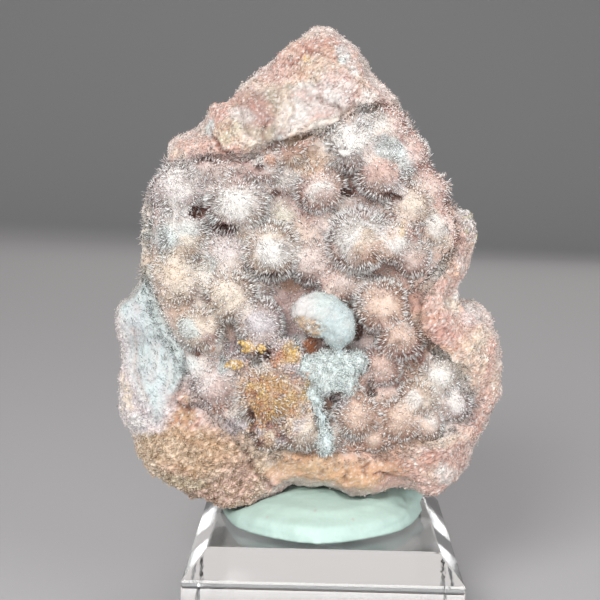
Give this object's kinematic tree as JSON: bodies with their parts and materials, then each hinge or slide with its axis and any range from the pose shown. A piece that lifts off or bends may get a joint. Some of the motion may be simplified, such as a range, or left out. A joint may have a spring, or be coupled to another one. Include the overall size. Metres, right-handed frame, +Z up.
{
  "type": "gypsum nest mineral specimen",
  "caption": "Upright pointed slab of pink rock with a shallow hollow lined with spiny gypsum balls, set in a disc of putty on a clear square block with a bevelled top.",
  "frame": {"origin": "centre of the flat underside of the clear block", "axes": "+Z up, the hollow faces -Y, +X to the right as the hollow is seen"},
  "size_m": [0.0758, 0.0508, 0.1132],
  "materials": {
    "matrix": "sugary, granular, dull with fine sparkle",
    "crystal_nest": "fine translucent needles, silky",
    "putty": "smooth, matt, slightly waxy",
    "base": "clear acrylic, polished top and bevel, fine milled streaks on its sides"
  },
  "bodies": {
    "root": {"matrix": "matrix", "crystal_nest": "crystal_nest", "putty": "putty", "base": "base"}
  },
  "joints": []
}
